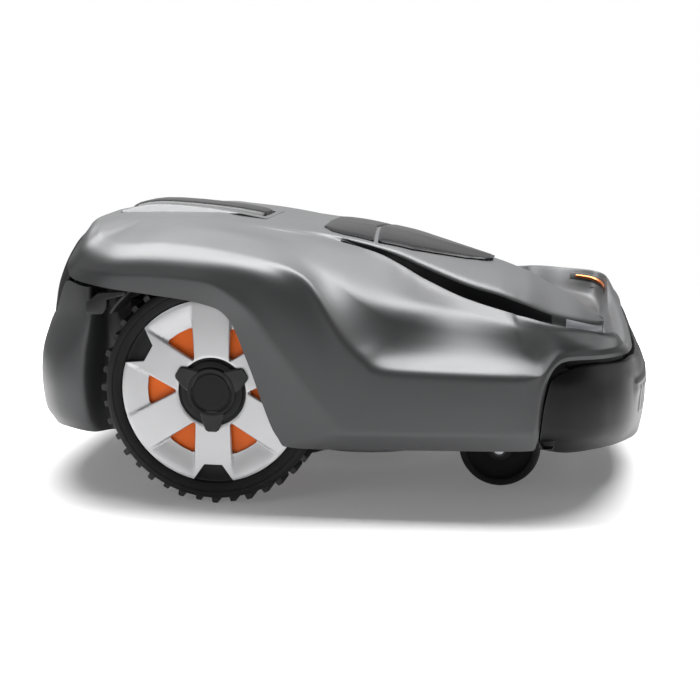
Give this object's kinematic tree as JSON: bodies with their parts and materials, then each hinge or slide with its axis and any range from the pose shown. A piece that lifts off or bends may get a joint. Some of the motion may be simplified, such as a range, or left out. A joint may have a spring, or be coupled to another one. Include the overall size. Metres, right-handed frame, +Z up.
{
  "type": "robotic lawn mower",
  "caption": "Robotic lawn mower with a floating grey shell, lugged rear drive wheels, front casters, height-adjustable cutting disc and a keypad hatch.",
  "frame": {"origin": "on the ground under the middle of the machine's box", "axes": "+X forwards, +Y to the machine's left, +Z up"},
  "size_m": [0.7171, 0.562, 0.311],
  "materials": {
    "black_plastic": "fine textured",
    "soft_rubber": "matt",
    "steel": "plain",
    "battery_shell": "matt",
    "circuit_board": "satin",
    "motor_casing": "satin",
    "tyre_rubber": "matt",
    "orange_plastic": "satin",
    "silver_paint": "satin silver paint",
    "hub_plastic": "satin",
    "disc_metal": "satin",
    "grey_shell": "satin metallic grey paint",
    "dark_panel": "satin",
    "bumper_black": "fine textured",
    "gloss_black": "gloss",
    "lens": "clear over silver",
    "copper": "satin",
    "display_grey": "gloss",
    "key_grey": "matt",
    "key_green": "matt"
  },
  "bodies": {
    "chassis": {"chassis_tray": "black_plastic", "chassis_lid": "black_plastic", "chassis_gasket": "soft_rubber", "chassis_screws": "steel", "battery_pack": "battery_shell", "main_board": "circuit_board", "wheel_motor_right": "motor_casing", "wheel_motor_left": "motor_casing", "height_motor": "motor_casing", "float_posts": "soft_rubber"},
    "drive_wheel_right": {"tyre_right": "tyre_rubber", "rim_right": "orange_plastic", "wheel_trim_right": "silver_paint", "hub_cap_right": "hub_plastic", "axle_right": "steel"},
    "caster_fork_right": {"caster_fork_right": "black_plastic", "caster_axle_right": "steel"},
    "caster_wheel_right": {"caster_wheel_right": "tyre_rubber"},
    "drive_wheel_left": {"tyre_left": "tyre_rubber", "rim_left": "orange_plastic", "wheel_trim_left": "silver_paint", "hub_cap_left": "hub_plastic", "axle_left": "steel"},
    "caster_fork_left": {"caster_fork_left": "black_plastic", "caster_axle_left": "steel"},
    "caster_wheel_left": {"caster_wheel_left": "tyre_rubber"},
    "cutter_carriage": {"cutter_housing": "black_plastic", "cutter_motor": "motor_casing"},
    "height_screw": {"height_spindle": "steel"},
    "cutter_disc": {"cutting_disc": "disc_metal", "blade_screws": "steel"},
    "skid": {"skid_plate": "black_plastic"},
    "blade_1": {"blade_1": "steel"},
    "blade_2": {"blade_2": "steel"},
    "blade_3": {"blade_3": "steel"},
    "float_frame": {"float_frame": "black_plastic"},
    "cover": {"top_cover": "grey_shell", "rear_cover": "grey_shell", "rear_panel": "dark_panel", "bumper": "bumper_black", "hood_trim_right": "gloss_black", "hood_trim_left": "gloss_black", "headlight_right": "lens", "headlight_left": "lens", "charging_contact_right": "copper", "charging_contact_left": "copper", "status_window": "gloss_black", "control_panel": "black_plastic", "display": "display_grey", "wheel_liner_right": "black_plastic", "wheel_liner_left": "black_plastic", "cover_sockets": "black_plastic", "hatch_pin": "steel"},
    "hatch": {"hatch": "gloss_black", "hatch_hinge": "gloss_black"},
    "stop_button": {"stop_button": "gloss_black"},
    "key_ok": {"key_ok": "key_green"},
    "key_back": {"key_back": "key_grey"},
    "key_arrows": {"key_arrows": "key_grey"},
    "main_switch": {"main_switch": "black_plastic"}
  },
  "joints": [
    {"name": "drive_right", "type": "hinge", "parent": "chassis", "child": "drive_wheel_right", "pos_m": [-0.109, -0.2, 0.125], "axis": [0, 1, 0], "continuous": true},
    {"name": "caster_swivel_right", "type": "hinge", "parent": "chassis", "child": "caster_fork_right", "pos_m": [0.213, -0.13, 0.12], "axis": [0, 0, 1], "continuous": true},
    {"name": "caster_roll_right", "type": "hinge", "parent": "caster_fork_right", "child": "caster_wheel_right", "pos_m": [0.193, -0.13, 0.046], "axis": [0, 1, 0], "continuous": true},
    {"name": "drive_left", "type": "hinge", "parent": "chassis", "child": "drive_wheel_left", "pos_m": [-0.109, 0.2, 0.125], "axis": [0, 1, 0], "continuous": true},
    {"name": "caster_swivel_left", "type": "hinge", "parent": "chassis", "child": "caster_fork_left", "pos_m": [0.213, 0.13, 0.12], "axis": [0, 0, 1], "continuous": true},
    {"name": "caster_roll_left", "type": "hinge", "parent": "caster_fork_left", "child": "caster_wheel_left", "pos_m": [0.193, 0.13, 0.046], "axis": [0, 1, 0], "continuous": true},
    {"name": "cutter_height", "type": "slide", "parent": "chassis", "child": "cutter_carriage", "axis": [0, 0, 1], "range_m": [0, 0.04]},
    {"name": "height_screw_turn", "type": "hinge", "parent": "chassis", "child": "height_screw", "pos_m": [0.087, 0, 0.12], "axis": [0, 0, 1], "range_deg": [0, 721]},
    {"name": "disc_spin", "type": "hinge", "parent": "cutter_carriage", "child": "cutter_disc", "pos_m": [0.025, 0, 0.04], "axis": [0, 0, 1], "continuous": true},
    {"name": "skid_spin", "type": "hinge", "parent": "cutter_disc", "child": "skid", "pos_m": [0.025, 0, 0.018], "axis": [0, 0, 1], "continuous": true},
    {"name": "blade_1_swing", "type": "hinge", "parent": "cutter_disc", "child": "blade_1", "pos_m": [0.111, 0, 0.021], "axis": [0, 0, 1], "continuous": true},
    {"name": "blade_2_swing", "type": "hinge", "parent": "cutter_disc", "child": "blade_2", "pos_m": [-0.018, 0.07448, 0.021], "axis": [0, 0, 1], "continuous": true},
    {"name": "blade_3_swing", "type": "hinge", "parent": "cutter_disc", "child": "blade_3", "pos_m": [-0.018, -0.07448, 0.021], "axis": [0, 0, 1], "continuous": true},
    {"name": "shell_shift", "type": "slide", "parent": "chassis", "child": "float_frame", "axis": [1, 0, 0], "range_m": [-0.005, 0.005], "stiffness_N_per_m": 4000},
    {"name": "shell_lift", "type": "slide", "parent": "float_frame", "child": "cover", "axis": [0, 0, 1], "range_m": [0, 0.008]},
    {"name": "hatch_open", "type": "hinge", "parent": "cover", "child": "hatch", "pos_m": [0.176, 0, 0.237], "axis": [0, 1, 0], "range_deg": [0, 55]},
    {"name": "stop_press", "type": "slide", "parent": "cover", "child": "stop_button", "axis": [0, 0, -1], "range_m": [0, 0.004], "stiffness_N_per_m": 3000, "springref_m": -0.003},
    {"name": "key_ok_press", "type": "slide", "parent": "cover", "child": "key_ok", "axis": [-0.225, 0, -0.9744], "range_m": [0, 0.0012], "stiffness_N_per_m": 800, "springref_m": -0.0008},
    {"name": "key_back_press", "type": "slide", "parent": "cover", "child": "key_back", "axis": [-0.225, 0, -0.9744], "range_m": [0, 0.0012], "stiffness_N_per_m": 800, "springref_m": -0.0008},
    {"name": "key_arrows_press", "type": "slide", "parent": "cover", "child": "key_arrows", "axis": [-0.225, 0, -0.9744], "range_m": [0, 0.0012], "stiffness_N_per_m": 800, "springref_m": -0.0008},
    {"name": "main_switch_rock", "type": "hinge", "parent": "chassis", "child": "main_switch", "pos_m": [-0.152, 0.085, 0.064], "axis": [0, 1, 0], "range_deg": [0, 14]}
  ],
  "couplings": [
    {"joint": "height_screw_turn", "follows": "cutter_height", "rad_per_m": 314.16}
  ]
}
